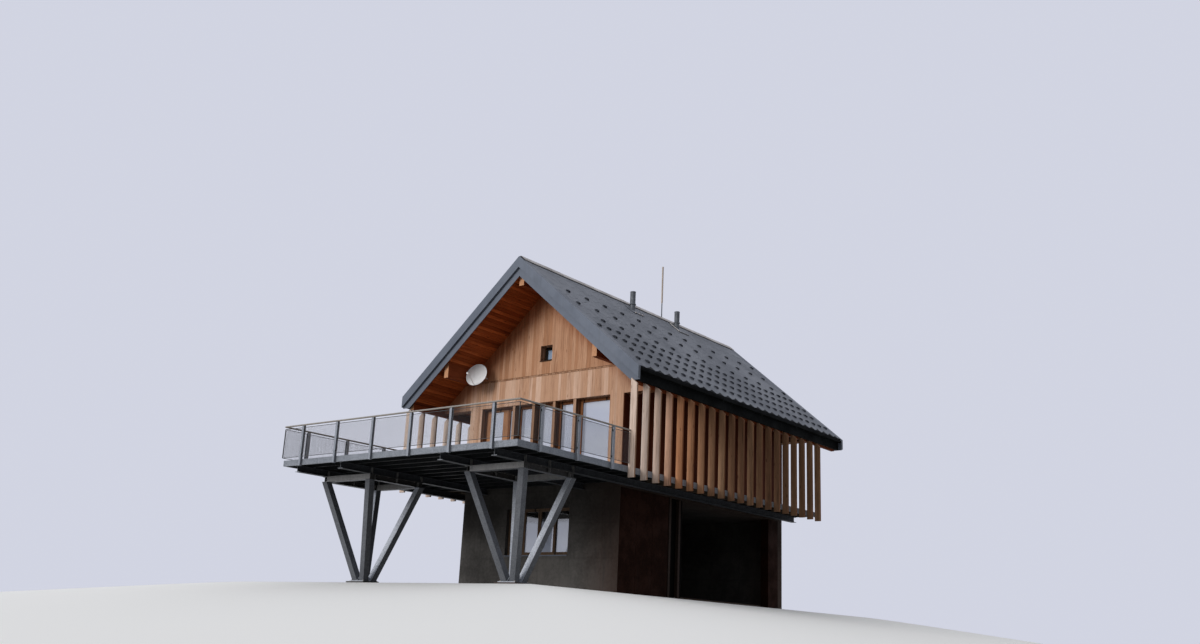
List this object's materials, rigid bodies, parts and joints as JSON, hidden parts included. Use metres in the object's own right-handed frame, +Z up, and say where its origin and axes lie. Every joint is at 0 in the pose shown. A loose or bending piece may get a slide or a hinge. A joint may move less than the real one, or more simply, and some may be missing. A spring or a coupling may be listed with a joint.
{
  "type": "alpine chalet",
  "caption": "Alpine chalet with a steep metal roof, timber gable, slatted side galleries and a railed steel terrace on inverted-pyramid stands.",
  "frame": {"origin": "at ground level, under the middle of the whole building's box", "axes": "+Z up, +Y along the ridge from the terrace to the rear, +X to the right seen from the terrace side"},
  "size_m": [9.92, 18.16, 12.6564],
  "materials": {
    "roof_metal": "matt blue-grey coated metal",
    "trim_metal": "satin blue-grey folded sheet",
    "gutter_metal": "near-black coated sheet",
    "soffit_wood": "red-brown stained boards",
    "larch": "vertical larch boards, lightly weathered",
    "dark_boards": "dark red-brown boards",
    "pale_wood": "planed timber ends",
    "fin_wood": "weathered planks, grey to orange-brown",
    "window_timber": "oiled window timber",
    "glass": "clear double glazing",
    "steel": "grey-blue coated structural steel",
    "galvanised": "dull galvanised steel",
    "deck_grey": "weathered grey boards",
    "concrete": "fair-faced grey concrete",
    "rust_panel": "dark brown cladding",
    "dish_grey": "matt pale grey coating"
  },
  "bodies": {
    "root": {"roof_covering_left": "roof_metal", "roof_covering_right": "roof_metal", "roof_body_left": "soffit_wood", "roof_body_right": "soffit_wood", "ridge_cap": "trim_metal", "verge_front": "trim_metal", "verge_rear": "trim_metal", "gutters": "gutter_metal", "ridge_purlin": "pale_wood", "side_purlins": "pale_wood", "gable_front": "larch", "gable_rear": "larch", "front_piers": "larch", "rear_wall": "larch", "side_wall_left": "dark_boards", "side_wall_right": "dark_boards", "front_window_frames": "window_timber", "gable_window_frames": "window_timber", "lower_window_frame": "window_timber", "window_glass": "glass", "upper_floor": "concrete", "loft_floor": "pale_wood", "gallery_floors": "deck_grey", "edge_channel": "steel", "fins_left": "fin_wood", "fins_right": "fin_wood", "deck_boards": "deck_grey", "deck_joists": "galvanised", "primary_beams": "steel", "stand_left": "steel", "stand_right": "steel", "foot_pads": "concrete", "rail_posts": "steel", "handrail": "galvanised", "rail_panels_front": "galvanised", "rail_panels_sides": "galvanised", "lower_wall_front": "concrete", "lower_wall_left": "concrete", "lower_wall_right": "rust_panel", "lower_wall_rear": "concrete", "bay_wall": "dark_boards", "lower_floor": "concrete", "bay_posts": "galvanised", "flues_and_mast": "galvanised", "satellite_dish": "dish_grey"}
  },
  "joints": []
}
